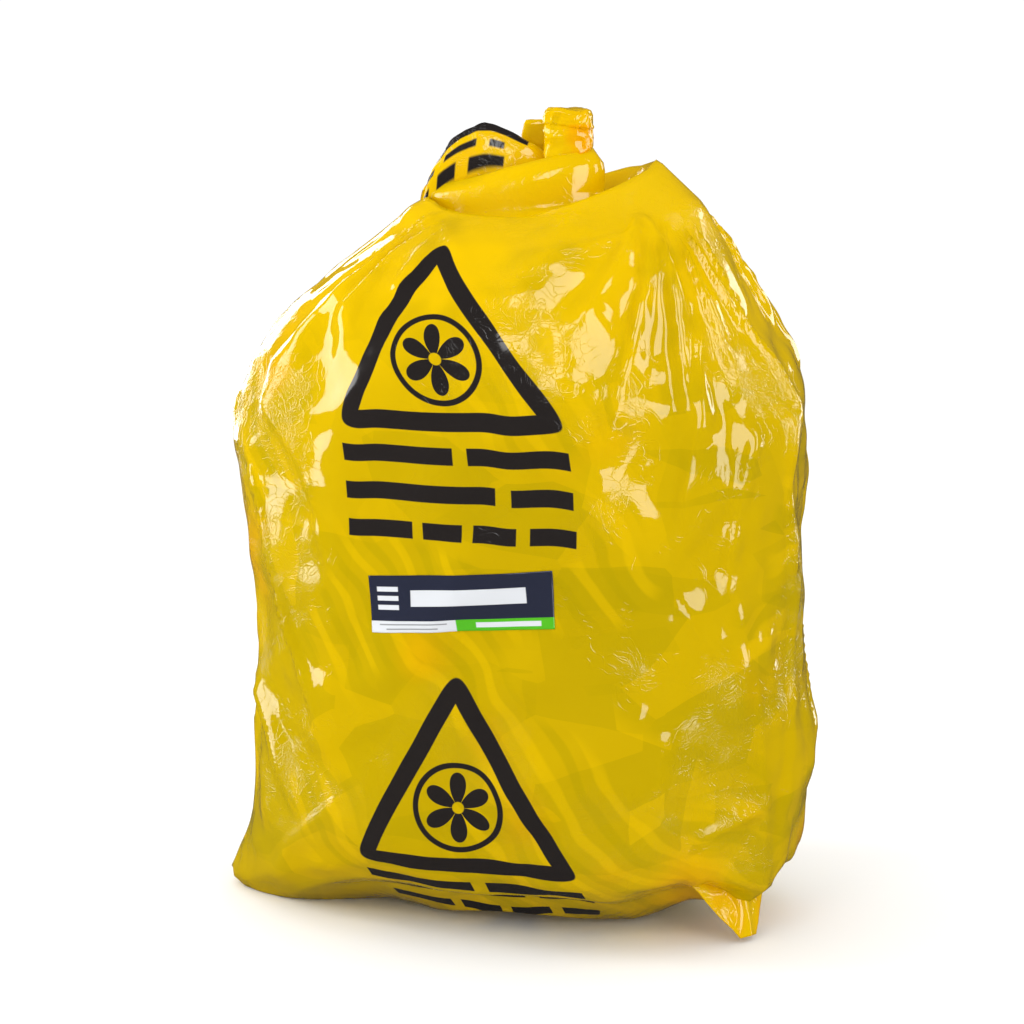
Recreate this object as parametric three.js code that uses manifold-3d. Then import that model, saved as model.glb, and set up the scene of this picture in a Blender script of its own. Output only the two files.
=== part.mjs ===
// A clinical waste sack of lay-flat polythene film, filled, knotted shut and standing on its base.
// Millimetres, +Z up. The printed front faces -Y and the film's flat width runs along X.
// Three pieces: the film with its knotted neck, the loose waste that fills it, and a stick-on label.
import * as THREE from 'three';
import { mergeVertices } from 'three/addons/utils/BufferGeometryUtils.js';
import Module from 'manifold-3d';

// The filled body
const bodyWidth = 500;
const bodyDepth = 360;
const ridgeHeight = 618; // floor to the ridge that runs round the neck
const topLean = 28; // how far the top stands to the right of the base
const waistShift = 9; // how far the lower half bulges to the right
const rightCrest = 22; // the ridge's right end stands this much over the rest
const frontDip = 27; // and its front this much under
const frontLift = 34; // how far the base's front edge curls up off the floor
const floorPatchRadius = 96; // flat middle of the base
const filmWall = 2;
const fillClearance = 0.5; // between the film and the waste inside it

// The two bottom corners of the flat sack, which stick out as ears
const earReach = 34;
const earHeight = 44;
const leftEarAngle = 187;
const rightEarAngle = -17;
const earSpread = 12; // degrees each side of an ear's tip

// The gathered neck, folded over into a band inside the ridge
const valleyDrop = 14; // ridge down to the valley round the neck
const neckWidth = 142;
const neckDepth = 60;
const neckRise = 26; // valley up to the top of the band
const neckOffset = -4; // the band stands this far to the left of the origin
const neckSlope = 30; // the band's right end stands this much higher than its left end
const channelRadius = 4; // pinched channel left through the gathers
const channelBack = 12; // channel's place behind the band's middle

// The film's ends that stick up out of the knot
const flapWidth = 92;
const flapRise = 43;
const flapThickness = 18;
const flapLeft = -79; // left edge, from the origin
const stubWidth = 44;
const stubDepth = 32;
const stubRise = 48;
const stubLeft = 15;
const tailWidth = 20;
const tailThickness = 9;
const tailRise = 44;
const tailLeft = -9;
const tailBack = 20; // front face of the rear tail, behind the origin
const rootDepth = 11; // how deep each end is rooted in the band
const endRounding = 3; // the ends' rounded edges

// The stick-on label on the front
const labelWidth = 155;
const labelHeight = 45;
const labelThickness = 0.6;
const labelCentreHeight = 291;
const labelTurn = 5.5; // degrees, right end up
const labelGap = 0.4; // between the film and the label's back

const segments = 60; // facets round the body
const sideRings = 22; // rings from the base's edge to the ridge

const radians = Math.PI / 180;
const signedPower = (value, power) => Math.sign(value) * Math.abs(value) ** power;
const easeStep = (value, from, to) => THREE.MathUtils.smoothstep(value, from, to);

// Shares of half the width, half the depth and the ridge's height, from the base's edge to the ridge.
const sideShares = [
  [0.72, 0.62, 0.0],
  [0.86, 0.8, 0.02],
  [0.955, 0.915, 0.075],
  [0.965, 0.965, 0.15],
  [0.962, 0.99, 0.26],
  [0.958, 1.0, 0.38],
  [0.97, 1.0, 0.5],
  [0.998, 0.99, 0.62],
  [0.99, 0.965, 0.71],
  [0.935, 0.915, 0.78],
  [0.84, 0.82, 0.845],
  [0.7, 0.69, 0.905],
  [0.59, 0.57, 0.955],
  [0.5, 0.46, 0.988],
  [0.44, 0.36, 1.0],
];
const sidePath = new THREE.CatmullRomCurve3(
  sideShares.map(
    ([width, depth, height]) =>
      new THREE.Vector3((width * bodyWidth) / 2, (depth * bodyDepth) / 2, height * ridgeHeight),
  ),
  false,
  'centripetal',
);

// The smallest turn, in degrees, from one direction to another.
const turnBetween = (from, to) => Math.abs(((to - from + 540) % 360) - 180);

// How far an ear pushes the film out, at an angle in degrees and a height.
function earPush(angle, height) {
  const nearest = Math.min(turnBetween(angle, leftEarAngle), turnBetween(angle, rightEarAngle));
  const round = Math.exp(-((nearest / earSpread) ** 2));
  return earReach * round * (1 - easeStep(height, earHeight * 0.3, earHeight * 1.5));
}

// The film's main folds: the angle and share of the ridge's height where each starts, the same where it
// ends, and how far its crest stands out. The upper ones hang from the gathers at the neck.
const mainFolds = [
  [-49, 0.97, -66, 0.7, 8],
  [-42, 0.97, -48, 0.55, 9],
  [-34, 0.95, -27, 0.62, 9],
  [-20, 0.95, -10, 0.55, 8],
  [-13, 0.66, 4, 0.3, 8],
  [4, 0.4, -6, 0.1, 8],
  [-133, 0.97, -145, 0.66, 9],
  [-124, 0.95, -122, 0.76, 8],
  [-146, 0.62, -133, 0.3, 9],
  [-156, 0.32, -136, 0.1, 9],
  [-162, 0.5, -160, 0.12, 7],
  [-166, 0.95, -164, 0.62, 8],
  [18, 0.96, 22, 0.6, 8],
  [36, 0.96, 40, 0.45, 9],
  [54, 0.96, 50, 0.66, 8],
  [70, 0.96, 76, 0.5, 9],
  [88, 0.96, 90, 0.7, 8],
  [104, 0.96, 98, 0.45, 9],
  [122, 0.96, 130, 0.6, 8],
  [140, 0.96, 144, 0.42, 9],
  [158, 0.96, 160, 0.62, 8],
  [176, 0.95, 172, 0.5, 8],
  [30, 0.35, 24, 0.08, 7],
  [62, 0.36, 66, 0.08, 8],
  [92, 0.38, 88, 0.08, 8],
  [120, 0.34, 126, 0.08, 7],
  [150, 0.36, 154, 0.08, 8],
];
const foldSpread = 9; // degrees each side of a fold's crest
const foldTaper = 0.09; // share of the ridge's height over which a fold's ends fade out
const foldSink = 3; // how far the film lies in between its folds
const foldFoot = 0.03; // share of the ridge's height where the lowest folds begin
const foldReach = 0.98; // and the share by which all of them have faded out
const plainFront = 20; // degrees each side of the front's middle where the film doesn't sink

// How far the main folds push the film out. A fold is a tent along a line over the unrolled side.
function foldPush(angle, height) {
  const share = height / ridgeHeight;
  const fade = easeStep(share, foldFoot, foldFoot + foldTaper) * (1 - easeStep(share, foldReach - foldTaper, foldReach));
  let crest = 0;
  for (const [startAngle, startShare, endAngle, endShare, rise] of mainFolds) {
    const along = THREE.MathUtils.clamp((startShare - share) / (startShare - endShare), 0, 1);
    const aside = turnBetween(angle, THREE.MathUtils.lerp(startAngle, endAngle, along));
    const ends =
      easeStep(share, endShare - foldTaper / 2, endShare + foldTaper) *
      (1 - easeStep(share, startShare, startShare + foldTaper));
    crest = Math.max(crest, rise * ends * (1 - Math.min(aside / foldSpread, 1)));
  }
  return fade * (crest - foldSink * easeStep(turnBetween(angle, -90), plainFront, 2.5 * plainFront));
}

// Soft bulges of the waste behind the film, and pleats that run up into the neck.
function bulge(angle, height) {
  const share = height / ridgeHeight;
  const middle = easeStep(share, 0.05, 0.3) * (1 - easeStep(share, 0.7, 0.95));
  const turn = angle * radians;
  const lumps = Math.cos(3 * turn + 5 * share) + Math.cos(5 * turn - 9 * share + 1);
  const front = turnBetween(angle, -90) < 60 ? 0.25 : 1;
  const pleats = Math.cos(9 * turn + 0.6) * easeStep(share, 0.72, 0.97);
  return 2.2 * middle * front * lumps + 3.2 * pleats;
}

// One point of the body's outside: half the width, half the depth and the height of its ring,
// and the angle in degrees, counted from +X towards +Y.
function bodyPoint(halfWidth, halfDepth, height, angle) {
  const turn = angle * radians;
  const squareness = 2 / THREE.MathUtils.lerp(2.3, 2.05, easeStep(height, 0.7 * ridgeHeight, ridgeHeight));
  const across = signedPower(Math.cos(turn), squareness);
  const along = signedPower(Math.sin(turn), squareness);
  const edge = easeStep(halfWidth, floorPatchRadius, bodyWidth * 0.34);
  const push = edge * (earPush(angle, height) + bulge(angle, height) + foldPush(angle, height));
  const front = easeStep(-along, 0.25, 1);
  const curl = frontLift * front * edge * (1 - easeStep(height, 0, 0.25 * ridgeHeight));
  const waist = easeStep(height, 0, 0.3 * ridgeHeight) * (1 - easeStep(height, 0.3 * ridgeHeight, 0.65 * ridgeHeight));
  const lean = topLean * easeStep(height, 0.75 * ridgeHeight, ridgeHeight) + waistShift * waist;
  const top = easeStep(height, 0.88 * ridgeHeight, ridgeHeight);
  const crest = top * (rightCrest * Math.max(across, 0) - frontDip * front);
  return new THREE.Vector3(
    lean + halfWidth * across + push * Math.cos(turn),
    halfDepth * along + push * Math.sin(turn),
    height + curl + crest,
  );
}

const angles = Array.from({ length: segments }, (_, i) => (i * 360) / segments);
const bodyRing = ({ x, y, z }) => angles.map((angle) => bodyPoint(x, y, z, angle));

// A flat elliptical ring.
const flatRing = (halfWidth, halfDepth, height, offset = 0, back = 0) =>
  angles.map(
    (angle) =>
      new THREE.Vector3(
        offset + halfWidth * Math.cos(angle * radians),
        back + halfDepth * Math.sin(angle * radians),
        height,
      ),
  );

const valleyHeight = ridgeHeight - valleyDrop;
const valleyRing = flatRing(neckWidth / 2 + 16, neckDepth / 2 + 14, valleyHeight, topLean / 3);
const bodyRings = [
  flatRing(floorPatchRadius / 2, floorPatchRadius / 2.6, 0),
  flatRing(floorPatchRadius, floorPatchRadius / 1.3, 0),
  ...sidePath.getSpacedPoints(sideRings).map(bodyRing),
  valleyRing,
];

// Rings moved inwards, square to the surface, with the flat ones at both ends kept flat.
function insetRings(rings, distance) {
  const last = rings.length - 1;
  return rings.map((ring, i) =>
    ring.map((point, j) => {
      if (i < 2) return point.clone().setZ(distance);
      const along = rings[Math.min(i + 1, last)][j].clone().sub(rings[i - 1][j]);
      const round = ring[(j + 1) % segments].clone().sub(ring[(j + segments - 1) % segments]);
      const inset = point.clone().addScaledVector(round.cross(along).normalize(), -distance);
      return i === last ? inset.setZ(point.z - distance) : inset;
    }),
  );
}

// Joins rings from a start pole to an end pole into one closed surface that faces out. From the ring
// turnedFrom on, each quad is cut along its other diagonal, so that the inside matches the outside.
function closedLoft(startPole, rings, endPole, turnedFrom = rings.length) {
  const points = [startPole, ...rings.flat(), endPole];
  const index = [];
  const at = (ring, j) => 1 + ring * segments + (j % segments);
  for (let j = 0; j < segments; j++) {
    index.push(0, at(0, j + 1), at(0, j));
    for (let ring = 0; ring + 1 < rings.length; ring++) {
      const turned = ring >= turnedFrom;
      index.push(at(ring, j), at(ring, j + 1), at(ring + 1, j + (turned ? 1 : 0)));
      index.push(at(ring, j + (turned ? 0 : 1)), at(ring + 1, j + 1), at(ring + 1, j));
    }
    index.push(at(rings.length - 1, j), at(rings.length - 1, j + 1), points.length - 1);
  }
  return new THREE.BufferGeometry().setFromPoints(points).setIndex(index);
}

const pole = (height, offset = 0, back = 0) => new THREE.Vector3(offset, back, height);

// The film: up the outside, over the neck band, down the pinched channel and down the inside.
const bandTop = valleyHeight + neckRise;
const slopedBandTop = flatRing(neckWidth / 2 - 8, neckDepth / 2 - 8, bandTop, neckOffset);
for (const point of slopedBandTop) point.z += (neckSlope * point.x) / neckWidth;
const bandRings = [
  flatRing(neckWidth / 2, neckDepth / 2, valleyHeight + 5, neckOffset),
  flatRing(neckWidth / 2 + 3, neckDepth / 2 + 3, valleyHeight + neckRise / 2, neckOffset),
  slopedBandTop,
  flatRing(channelRadius, channelRadius, bandTop - 4, neckOffset, channelBack),
  flatRing(channelRadius, channelRadius, valleyHeight - filmWall, neckOffset, channelBack),
];
const filmInside = insetRings(bodyRings, filmWall).reverse();
const filmOutside = [...bodyRings, ...bandRings];
const filmGeometry = closedLoft(
  pole(0),
  [...filmOutside, ...filmInside],
  pole(filmWall),
  filmOutside.length,
);

// The waste: one plain core a clearance inside the film.
const fillInset = filmWall + fillClearance;
const fillGeometry = closedLoft(
  pole(fillInset),
  insetRings(bodyRings, fillInset),
  pole(valleyHeight - fillInset, topLean / 3),
);

const wasm = await Module();
wasm.setup();

// A closed geometry as a manifold-3d solid, with its shared corners merged.
function solidOf(geometry) {
  const plain = geometry.clone();
  plain.deleteAttribute('normal');
  plain.deleteAttribute('uv');
  const merged = mergeVertices(plain, 1e-3);
  return new wasm.Manifold(
    new wasm.Mesh({
      numProp: 3,
      vertProperties: new Float32Array(merged.attributes.position.array),
      triVerts: new Uint32Array(merged.index.array),
    }),
  );
}

function geometryOf(solid) {
  const mesh = solid.getMesh();
  return new THREE.BufferGeometry()
    .setAttribute('position', new THREE.BufferAttribute(mesh.vertProperties, 3))
    .setIndex(new THREE.BufferAttribute(mesh.triVerts, 1));
}

// A sheet end standing in the band: an outline in X and Z, as thick as asked in Y.
function standingEnd(outline, thickness, front, height) {
  const geometry = new THREE.ExtrudeGeometry(outline, {
    depth: thickness - 2 * endRounding,
    bevelThickness: endRounding,
    bevelSize: endRounding,
    bevelOffset: -endRounding,
    bevelSegments: 2,
    curveSegments: 6,
  });
  geometry.rotateX(Math.PI / 2);
  geometry.translate(0, front + thickness - endRounding, height);
  return solidOf(geometry);
}

// The wide flap folded over to the left: a low dome, its crest left of its middle.
function flapOutline() {
  const shape = new THREE.Shape();
  const right = flapLeft + flapWidth;
  shape.moveTo(flapLeft + 6, -rootDepth - 8);
  shape.lineTo(right, -rootDepth);
  shape.lineTo(right, flapRise * 0.3);
  shape.quadraticCurveTo(flapLeft + 0.78 * flapWidth, flapRise * 0.78, flapLeft + 0.55 * flapWidth, flapRise);
  shape.quadraticCurveTo(flapLeft + 0.34 * flapWidth, flapRise * 1.04, flapLeft + 0.22 * flapWidth, flapRise * 0.86);
  shape.quadraticCurveTo(flapLeft + 0.06 * flapWidth, flapRise * 0.45, flapLeft + 6, -rootDepth - 8);
  return shape;
}

// The wad of rolled film that ends the knot.
function stubOutline() {
  const shape = new THREE.Shape();
  const right = stubLeft + stubWidth;
  shape.moveTo(stubLeft, -rootDepth);
  shape.lineTo(right - 3, -rootDepth);
  shape.lineTo(right, stubRise * 0.62);
  shape.lineTo(right - 2, stubRise - 3);
  shape.lineTo(stubLeft + 0.62 * stubWidth, stubRise - 4);
  shape.lineTo(stubLeft + 0.22 * stubWidth, stubRise);
  shape.lineTo(stubLeft, stubRise * 0.55);
  return shape;
}

// The narrow tail behind the flap.
function tailOutline() {
  const shape = new THREE.Shape();
  shape.moveTo(tailLeft, -rootDepth);
  shape.lineTo(tailLeft + tailWidth, -rootDepth);
  shape.lineTo(tailLeft + tailWidth - 1, tailRise - 2);
  shape.lineTo(tailLeft + 3, tailRise);
  return shape;
}

const bandLevel = (x) => bandTop + (neckSlope * x) / neckWidth;
const film = solidOf(filmGeometry)
  .add(standingEnd(flapOutline(), flapThickness, channelBack - channelRadius - flapThickness - 4, bandLevel(flapLeft / 2)))
  .add(standingEnd(stubOutline(), stubDepth, -stubDepth / 2, bandLevel(stubLeft) - 2))
  .add(standingEnd(tailOutline(), tailThickness, tailBack - tailThickness, bandLevel(tailLeft) - 2));

// The point of the front's outside at a place across and a height, found by halving.
function frontPoint(x, height) {
  const halve = (test) => {
    let low = 0;
    let high = 1;
    for (let i = 0; i < 40; i++) {
      const middle = (low + high) / 2;
      if (test(middle)) low = middle;
      else high = middle;
    }
    return low;
  };
  const station = sidePath.getPointAt(halve((share) => sidePath.getPointAt(share).z < height));
  const at = (share) => bodyPoint(station.x, station.y, station.z, -180 + 180 * share);
  return at(halve((share) => at(share).x < x));
}

// The label: a thin sheet bent to the front, a gap clear of the film.
function labelGeometry() {
  const columns = 22;
  const rows = 6;
  const cosine = Math.cos(labelTurn * radians);
  const sine = Math.sin(labelTurn * radians);
  const sheet = (standOff) =>
    Array.from({ length: (columns + 1) * (rows + 1) }, (_, i) => {
      const across = ((i % (columns + 1)) / columns - 0.5) * labelWidth;
      const up = (Math.floor(i / (columns + 1)) / rows - 0.5) * labelHeight;
      const point = frontPoint(across * cosine - up * sine, labelCentreHeight + across * sine + up * cosine);
      return point.setY(point.y - standOff);
    });
  const face = sheet(labelGap + labelThickness);
  const back = sheet(labelGap);
  const index = [];
  const quad = (a, b, c, d) => index.push(a, b, c, a, c, d);
  const at = (row, column) => row * (columns + 1) + column;
  const under = (row, column) => face.length + at(row, column);
  for (let row = 0; row < rows; row++) {
    for (let column = 0; column < columns; column++) {
      quad(at(row, column), at(row, column + 1), at(row + 1, column + 1), at(row + 1, column));
      quad(under(row, column), under(row + 1, column), under(row + 1, column + 1), under(row, column + 1));
    }
    quad(at(row, 0), at(row + 1, 0), under(row + 1, 0), under(row, 0));
    quad(at(row, columns), under(row, columns), under(row + 1, columns), at(row + 1, columns));
  }
  for (let column = 0; column < columns; column++) {
    quad(at(0, column), under(0, column), under(0, column + 1), at(0, column + 1));
    quad(at(rows, column), at(rows, column + 1), under(rows, column + 1), under(rows, column));
  }
  return new THREE.BufferGeometry().setFromPoints([...face, ...back]).setIndex(index);
}

function piece(name, geometry, color, roughness) {
  const mesh = new THREE.Mesh(geometry, new THREE.MeshStandardMaterial({ color, roughness, metalness: 0 }));
  mesh.name = name;
  return mesh;
}

const sack = new THREE.Group();
sack.add(piece('bag_film', geometryOf(film), 0xe8bf00, 0.25));
sack.add(piece('waste_fill', fillGeometry, 0xcdb640, 0.8));
sack.add(piece('label', labelGeometry(), 0x2b3040, 0.35));

// The origin is on the floor under the middle of the sack's box.
const box = new THREE.Box3().setFromObject(sack);
const middle = box.getCenter(new THREE.Vector3());
sack.position.set(-middle.x, -middle.y, -box.min.z);

export default sack;
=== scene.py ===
"""A filled clinical waste sack: glossy yellow film settled over its waste, folded over and knotted shut,
with its print, its stick-on label and the loose ends of the knot."""

import math

import bpy
import numpy as np
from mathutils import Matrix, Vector
from mathutils.bvhtree import BVHTree


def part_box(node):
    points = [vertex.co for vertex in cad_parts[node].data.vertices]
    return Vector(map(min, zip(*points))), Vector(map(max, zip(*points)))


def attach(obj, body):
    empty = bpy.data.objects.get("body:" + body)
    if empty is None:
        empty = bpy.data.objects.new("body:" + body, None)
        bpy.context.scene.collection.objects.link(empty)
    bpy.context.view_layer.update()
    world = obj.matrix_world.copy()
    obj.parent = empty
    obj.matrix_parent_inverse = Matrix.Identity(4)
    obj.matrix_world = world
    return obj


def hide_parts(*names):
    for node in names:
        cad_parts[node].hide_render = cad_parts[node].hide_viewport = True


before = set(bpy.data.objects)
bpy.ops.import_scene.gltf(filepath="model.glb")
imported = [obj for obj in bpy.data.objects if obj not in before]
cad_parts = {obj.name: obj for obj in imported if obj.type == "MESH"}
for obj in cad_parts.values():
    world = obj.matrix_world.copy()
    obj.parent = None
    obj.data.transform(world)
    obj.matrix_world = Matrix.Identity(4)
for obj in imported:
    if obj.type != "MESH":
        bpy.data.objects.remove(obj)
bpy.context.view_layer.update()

# Sizes of the sack, in metres
FILM_GIRTH = 1.422
FILM_GAP = 0.0025  # from the waste to the film over it
CORE_CENTRE = np.array((0.010, 0.0, 0.300))
PRINT_X = -0.003  # the print's middle line on the front, halfway up
FRONT_TRUE = 0.24  # half the width of the front that carries no spare film
RIDGE_LEFT = (-0.078, -0.050)  # the two gathers at the ends of the front ridge
RIDGE_SPAN = 0.205  # film between the two gathers
RIDGE_PRINT = 0.038  # the print's middle line, from the left gather
BACK_TRUE = 0.07  # half the width of back film that reaches the ridge unpleated

# Folds that hang from the gathers and stand up the left side: film width and height at the start and at the
# end, half width at the start and at the end, and how far the crest stands out
FRONT_FOLDS = (
    (0.145, 0.592, 0.081, 0.492, 0.006, 0.036, 0.0080),
    (0.149, 0.585, 0.108, 0.370, 0.006, 0.030, 0.0075),
    (0.154, 0.582, 0.186, 0.400, 0.006, 0.032, 0.0080),
    (0.190, 0.500, 0.180, 0.330, 0.016, 0.012, 0.0045),
    (0.190, 0.565, 0.242, 0.440, 0.008, 0.028, 0.0070),
    (0.215, 0.575, 0.285, 0.490, 0.006, 0.020, 0.0060),
    (0.246, 0.575, 0.320, 0.416, 0.006, 0.020, 0.0065),
    (0.240, 0.420, 0.225, 0.280, 0.012, 0.018, 0.0040),
    (0.290, 0.424, 0.330, 0.237, 0.012, 0.018, 0.0030),
    (0.330, 0.300, 0.300, 0.053, 0.016, 0.024, 0.0030),
    (0.260, 0.220, 0.285, 0.070, 0.012, 0.020, 0.0020),
    (0.166, 0.585, 0.129, 0.509, 0.003, 0.012, 0.0030),
    (0.141, 0.581, 0.044, 0.559, 0.003, 0.016, 0.0025),
    (0.174, 0.307, 0.206, 0.255, 0.006, 0.010, 0.0020),
    (-0.028, 0.591, -0.198, 0.462, 0.004, 0.030, 0.0055),
    (-0.020, 0.581, -0.109, 0.496, 0.004, 0.024, 0.0045),
    (-0.012, 0.575, -0.028, 0.527, 0.004, 0.018, 0.0035),
    (-0.012, 0.583, 0.024, 0.558, 0.003, 0.014, 0.0020),
    (-0.040, 0.590, -0.190, 0.520, 0.003, 0.016, 0.0040),
    (-0.190, 0.440, -0.141, 0.388, 0.010, 0.020, 0.0030),
    (-0.218, 0.379, -0.162, 0.200, 0.006, 0.016, 0.0045),
    (-0.186, 0.273, -0.133, 0.163, 0.005, 0.018, 0.0040),
    (-0.242, 0.187, -0.141, 0.078, 0.020, 0.018, 0.0050),
    (-0.259, 0.175, -0.291, 0.033, 0.014, 0.022, 0.0045),
    (-0.145, 0.380, -0.113, 0.293, 0.006, 0.016, 0.0025),
    (-0.117, 0.116, -0.234, 0.020, 0.008, 0.020, 0.0025),
    (0.210, 0.099, 0.291, 0.121, 0.008, 0.016, 0.0035),
    (0.222, 0.052, 0.158, 0.135, 0.006, 0.026, 0.0035),
)
BACK_FOLDS = 34
FOLD_STEEPER = 1.9  # how much steeper each fold is on one side

# The print, by its distance along the film from the floor end and across from the middle of the front
PRINT_REPEAT = 0.366
TRIANGLE_FOOT = 0.4515  # underside of the upper triangle's bottom bar
TRIANGLE_SIDE = 0.205  # between its corners, before they are rounded
TRIANGLE_BAR = 0.0155
ORNAMENT_RADIUS = 0.0385
ROW_TOP = 0.4435  # top of the highest of three rows of bars
ROW_PITCH = 0.0305
BAR_HEIGHT = 0.014
ROWS = (  # left and right ends of the bars in each row
    ((-0.096, 0.001), (0.013, 0.096)),
    ((-0.096, 0.033), (0.046, 0.096)),
    ((-0.095, -0.037), (-0.028, 0.006), (0.015, 0.050), (0.061, 0.098)),
)
PRINT_START = ROW_TOP - 3.0 * ROW_PITCH - 0.02  # a little below the lowest bars
FRONT_ANCHOR = 0.4446  # the print's distance along the film where the front is 0.42 above the floor
ANCHOR_HEIGHT = 0.42

LABEL_WIDTH = 0.155
LABEL_HEIGHT = 0.046
LABEL_TURN = math.radians(4.6)
LABEL_THICKNESS = 0.0003

# Corners of the base seam: two places in the film's side, the tip, its width, and the bow
CORNER_THICKNESS = 0.0006
RIGHT_CORNER = ((0.176, -0.105, 0.055), (0.216, -0.018, 0.052), (0.214, -0.066, 0.0045), 0.020, 0.008)
LEFT_CORNER = ((-0.235, -0.060, 0.050), (-0.240, 0.010, 0.060), (-0.256, -0.030, 0.012), 0.022, 0.006)

# The film's ends above the knot
FLAP_LEFT, FLAP_RIGHT = -0.088, 0.016
FLAP_OUTLINE = (  # across, and height of the crest
    (-0.088, 0.620), (-0.082, 0.634), (-0.071, 0.651), (-0.059, 0.660), (-0.045, 0.665), (-0.032, 0.665),
    (-0.018, 0.659), (-0.002, 0.650), (0.016, 0.640),
)
FLAP_ROOT = 0.585
FLAP_THICKNESS = 0.020
FLAP_BACK = -0.004
FLAP_LEAN = 0.006
FLAP_SWAY = 0.006  # its left end leans out by this
FLAP_SKEW = 0.012  # its right end is this much further back
UPRIGHT_ROWS = 110
STUB_MIDDLE = (0.0365, 0.0)
STUB_LEVELS = (  # height, shift, half width and half depth
    (0.600, 0.0, 0.0175, 0.013), (0.630, 0.0, 0.0190, 0.015), (0.650, 0.0, 0.0200, 0.016),
    (0.663, 0.0, 0.0198, 0.016), (0.664, 0.0, 0.0208, 0.017), (0.674, 0.001, 0.0200, 0.016),
    (0.6775, 0.001, 0.0175, 0.014), (0.6780, 0.001, 0.0110, 0.009),
)
TAIL_MIDDLE = (0.0, 0.022)
TAIL_LEVELS = (
    (0.600, 0.0, 0.010, 0.004), (0.630, 0.0, 0.0105, 0.0045), (0.655, 0.0, 0.011, 0.0045),
    (0.664, 0.001, 0.010, 0.0045), (0.667, 0.001, 0.008, 0.003), (0.6675, 0.001, 0.005, 0.002),
)

CAMERA_AZIMUTH = 18.0
CAMERA_ELEVATION = 9.0
CAMERA_DISTANCE = 2.5
CAMERA_AIM = (-0.0270, 0.0440, 0.3297)
CAMERA_FOCAL = 2883.5  # in pixels of a picture 1024 wide

# Film grid: columns round the sack and rows from under the base to inside the neck
COARSE_COLUMNS = 88
COARSE_BODY = 50
COARSE_NECK = 6
LEVELS = 3
NECK_CALMING = 40
SQUEEZE = 0.15  # how hard the film resists being pushed together, to how hard it resists stretching
SPARE, SPARE_SHOULDERS, SPARE_NECK, SPARE_BASE = 0.06, 0.14, 0.10, 0.05
SPARE_ALONG = 1.012
HOLD_CREST, HOLD_HOLLOW, HOLD_BAND = 0.03, 0.10, 0.25  # how fast each step draws the film to its course
BODY_END = 0.985  # share of the body's rows that is pressed on to the waste
LOOK_AGAIN = 20  # steps between two readings of the waste's surface
FLOOR_GAP = 0.0006
# For each level of detail: steps, how far each step presses the film inwards, and stiffness in bending
SETTLING = ((260, 0.00025, 0.05), (160, 0.00012, 0.03), (110, 0.00006, 0.02))
UV_CALMING = 24
ALONG_SCALE = 1.2
WORLD_LIGHT = 1.04
WORLD_REFLECTED = 0.05


def smooth(value, low, high):
    """0 below low, 1 above high, and a smooth S between."""
    share = np.clip((value - low) / (high - low), 0.0, 1.0)
    return share * share * (3.0 - 2.0 * share)


def ripple(points, wavelength, seed, waves=9, stretch=(1.0, 1.0, 1.0)):
    """A smooth seeded noise from about -1 to 1: the sum of sine waves that run in random directions, each
    about one wavelength long, with the wavelength multiplied by stretch along X, Y and Z."""
    random = np.random.default_rng(seed)
    directions = random.normal(size=(waves, 3))
    directions /= np.linalg.norm(directions, axis=1)[:, None]
    lengths = wavelength * random.uniform(0.7, 1.5, waves)
    phases = random.uniform(0.0, math.tau, waves)
    total = np.zeros(points.shape[:-1])
    for direction, length, phase in zip(directions, lengths, phases):
        total += np.sin(math.tau * (points @ (direction / np.array(stretch))) / length + phase)
    return total / math.sqrt(waves)


def table_at(table, across, along):
    """Reads a table by straight interpolation: across counts cells of its first axis, which closes on
    itself, and along counts cells of its second, which doesn't."""
    low = np.floor(across).astype(int)
    share = (across - low)[..., None]
    first, second = low % len(table), (low + 1) % len(table)
    along = np.clip(along, 0.0, table.shape[1] - 1.001)
    under = along.astype(int)
    part = (along - under)[..., None]
    lower = table[first, under] * (1.0 - share) + table[second, under] * share
    upper = table[first, under + 1] * (1.0 - share) + table[second, under + 1] * share
    return lower * (1.0 - part) + upper * part


# The waste: a table of distances from the core's centre, by direction

TURNS = 180
TILTS = 180
LOW_TILT, HIGH_TILT = math.radians(-89.0), math.radians(89.0)
NECK_ACROSS = 0.020
# How far the core is drawn in or let out, as shares of the distance from its centre, and over which
# heights and distances from the neck each change sets in
RIGHT_TRIM, RIGHT_HEIGHTS, RIGHT_ASIDE = 0.050, (0.43, 0.52), (0.03, 0.12)
TOP_TRIM, TOP_HEIGHTS, TOP_ASIDE = 0.016, (0.57, 0.60), (0.02, 0.08)
LEFT_TRIM, LEFT_HEIGHTS, LEFT_ASIDE = 0.034, (0.42, 0.50), (0.03, 0.11)
LEFT_BASE, LEFT_TOP_HEIGHTS = 0.4, (0.55, 0.60)
FOOT_TRIM, FOOT_TRIM_HEIGHTS, FOOT_TRIM_ASIDE = 0.075, (0.02, 0.07), (0.08, 0.16)
FOOT_SPREAD, FOOT_SPREAD_HEIGHTS, FOOT_SPREAD_ASIDE = 0.042, (0.03, 0.12), (0.12, 0.20)
FACETS = 420
FACET_LOW, FACET_HIGH = 0.09, 0.56  # the ears and the ridge stay uncut
FACET_DEPTHS = (0.001, 0.0045)
FACET_NEAR, FACET_FAR = 0.045, 0.085  # how far round its point a facet cuts fully, and at all
FACET_DEEPEST = 0.008
FACET_SLANT = 0.3  # least cosine between a ray and a facet's normal
DENT_DEPTH, DENT_SIZE = 0.005, 0.09
LUMP_DEPTH, LUMP_SIZE = 0.0008, 0.03


def directions_of(turn, tilt):
    """Unit vectors: turn is counted round from +X towards +Y, and tilt up from level."""
    return np.stack((np.cos(turn) * np.cos(tilt), np.sin(turn) * np.cos(tilt), np.sin(tilt)), axis=-1)


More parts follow.
